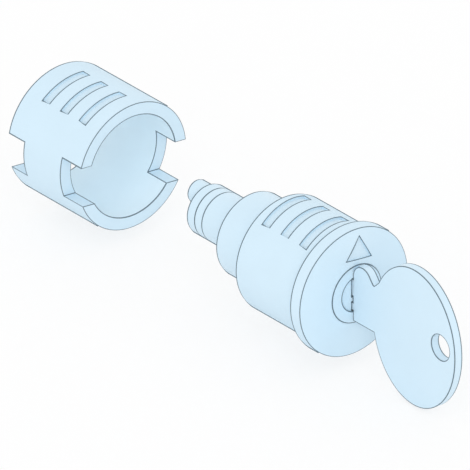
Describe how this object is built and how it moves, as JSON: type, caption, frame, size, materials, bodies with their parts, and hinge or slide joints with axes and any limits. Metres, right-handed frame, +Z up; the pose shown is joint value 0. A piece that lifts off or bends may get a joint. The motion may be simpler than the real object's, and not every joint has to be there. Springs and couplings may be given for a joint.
{
  "type": "cylinder lock",
  "caption": "Panel cylinder lock with a flat key in its keyway, a wafer mechanism, a rear shaft with an eccentric crank pin, and a notched rear sleeve drawn off along the axis.",
  "frame": {"origin": "on the lock's axis, in the plane of the flange's rear face, which seats on the panel", "axes": "+Y along the axis from the flange to the rear shaft and the sleeve, +Z up through the index triangle, +X to the right for someone who looks at the flange from the front"},
  "size_m": [0.0244, 0.1092, 0.0271],
  "materials": {
    "housing_plastic": "fine satin moulded, pale blue",
    "sleeve_plastic": "fine satin moulded, pale blue",
    "stator_metal": "die-cast zinc with a satin pale blue coat",
    "rotor_metal": "die-cast zinc with a satin pale blue coat",
    "key_metal": "stamped steel with a smooth pale blue coat",
    "pin_steel": "ground steel",
    "wafer_brass": "stamped brass",
    "spring_steel": "drawn spring wire"
  },
  "bodies": {
    "lock": {"housing": "housing_plastic", "stator": "stator_metal", "anchor_pin": "pin_steel", "stop_pin": "pin_steel"},
    "rotor": {"rotor": "rotor_metal", "snap_ring": "rotor_metal", "crank_pin": "rotor_metal", "spring_1": "spring_steel", "spring_2": "spring_steel", "spring_3": "spring_steel", "spring_4": "spring_steel", "spring_5": "spring_steel", "spring_6": "spring_steel"},
    "wafer_1": {"wafer_1": "wafer_brass"},
    "wafer_2": {"wafer_2": "wafer_brass"},
    "wafer_3": {"wafer_3": "wafer_brass"},
    "wafer_4": {"wafer_4": "wafer_brass"},
    "wafer_5": {"wafer_5": "wafer_brass"},
    "wafer_6": {"wafer_6": "wafer_brass"},
    "key": {"key": "key_metal"},
    "sleeve": {"sleeve": "sleeve_plastic"}
  },
  "joints": [
    {"name": "rotor_turn", "type": "hinge", "parent": "lock", "child": "rotor", "pos_m": [0, 0, 0], "axis": [0, 1, 0], "range_deg": [0, 90]},
    {"name": "key_draw", "type": "slide", "parent": "rotor", "child": "key", "axis": [0, -1, 0], "range_m": [0, 0.03]},
    {"name": "wafer_1_drop", "type": "slide", "parent": "rotor", "child": "wafer_1", "axis": [0, 0, -1], "range_m": [0, 0.0008], "deforming": ["spring_1"]},
    {"name": "wafer_2_drop", "type": "slide", "parent": "rotor", "child": "wafer_2", "axis": [0, 0, -1], "range_m": [0, 0.0008], "deforming": ["spring_2"]},
    {"name": "wafer_3_drop", "type": "slide", "parent": "rotor", "child": "wafer_3", "axis": [0, 0, -1], "range_m": [0, 0.0008], "deforming": ["spring_3"]},
    {"name": "wafer_4_drop", "type": "slide", "parent": "rotor", "child": "wafer_4", "axis": [0, 0, -1], "range_m": [0, 0.0008], "deforming": ["spring_4"]},
    {"name": "wafer_5_drop", "type": "slide", "parent": "rotor", "child": "wafer_5", "axis": [0, 0, -1], "range_m": [0, 0.0008], "deforming": ["spring_5"]},
    {"name": "wafer_6_drop", "type": "slide", "parent": "rotor", "child": "wafer_6", "axis": [0, 0, -1], "range_m": [0, 0.0008], "deforming": ["spring_6"]},
    {"name": "sleeve_slide", "type": "slide", "parent": "lock", "child": "sleeve", "axis": [0, -1, 0], "range_m": [0, 0.0418]}
  ],
  "couplings": [
    {"joint": "wafer_1_drop", "follows": "key_draw", "ratio": 0.0266},
    {"joint": "wafer_2_drop", "follows": "key_draw", "ratio": 0.0266},
    {"joint": "wafer_3_drop", "follows": "key_draw", "ratio": 0.0266},
    {"joint": "wafer_4_drop", "follows": "key_draw", "ratio": 0.0266},
    {"joint": "wafer_5_drop", "follows": "key_draw", "ratio": 0.0266},
    {"joint": "wafer_6_drop", "follows": "key_draw", "ratio": 0.0266}
  ]
}
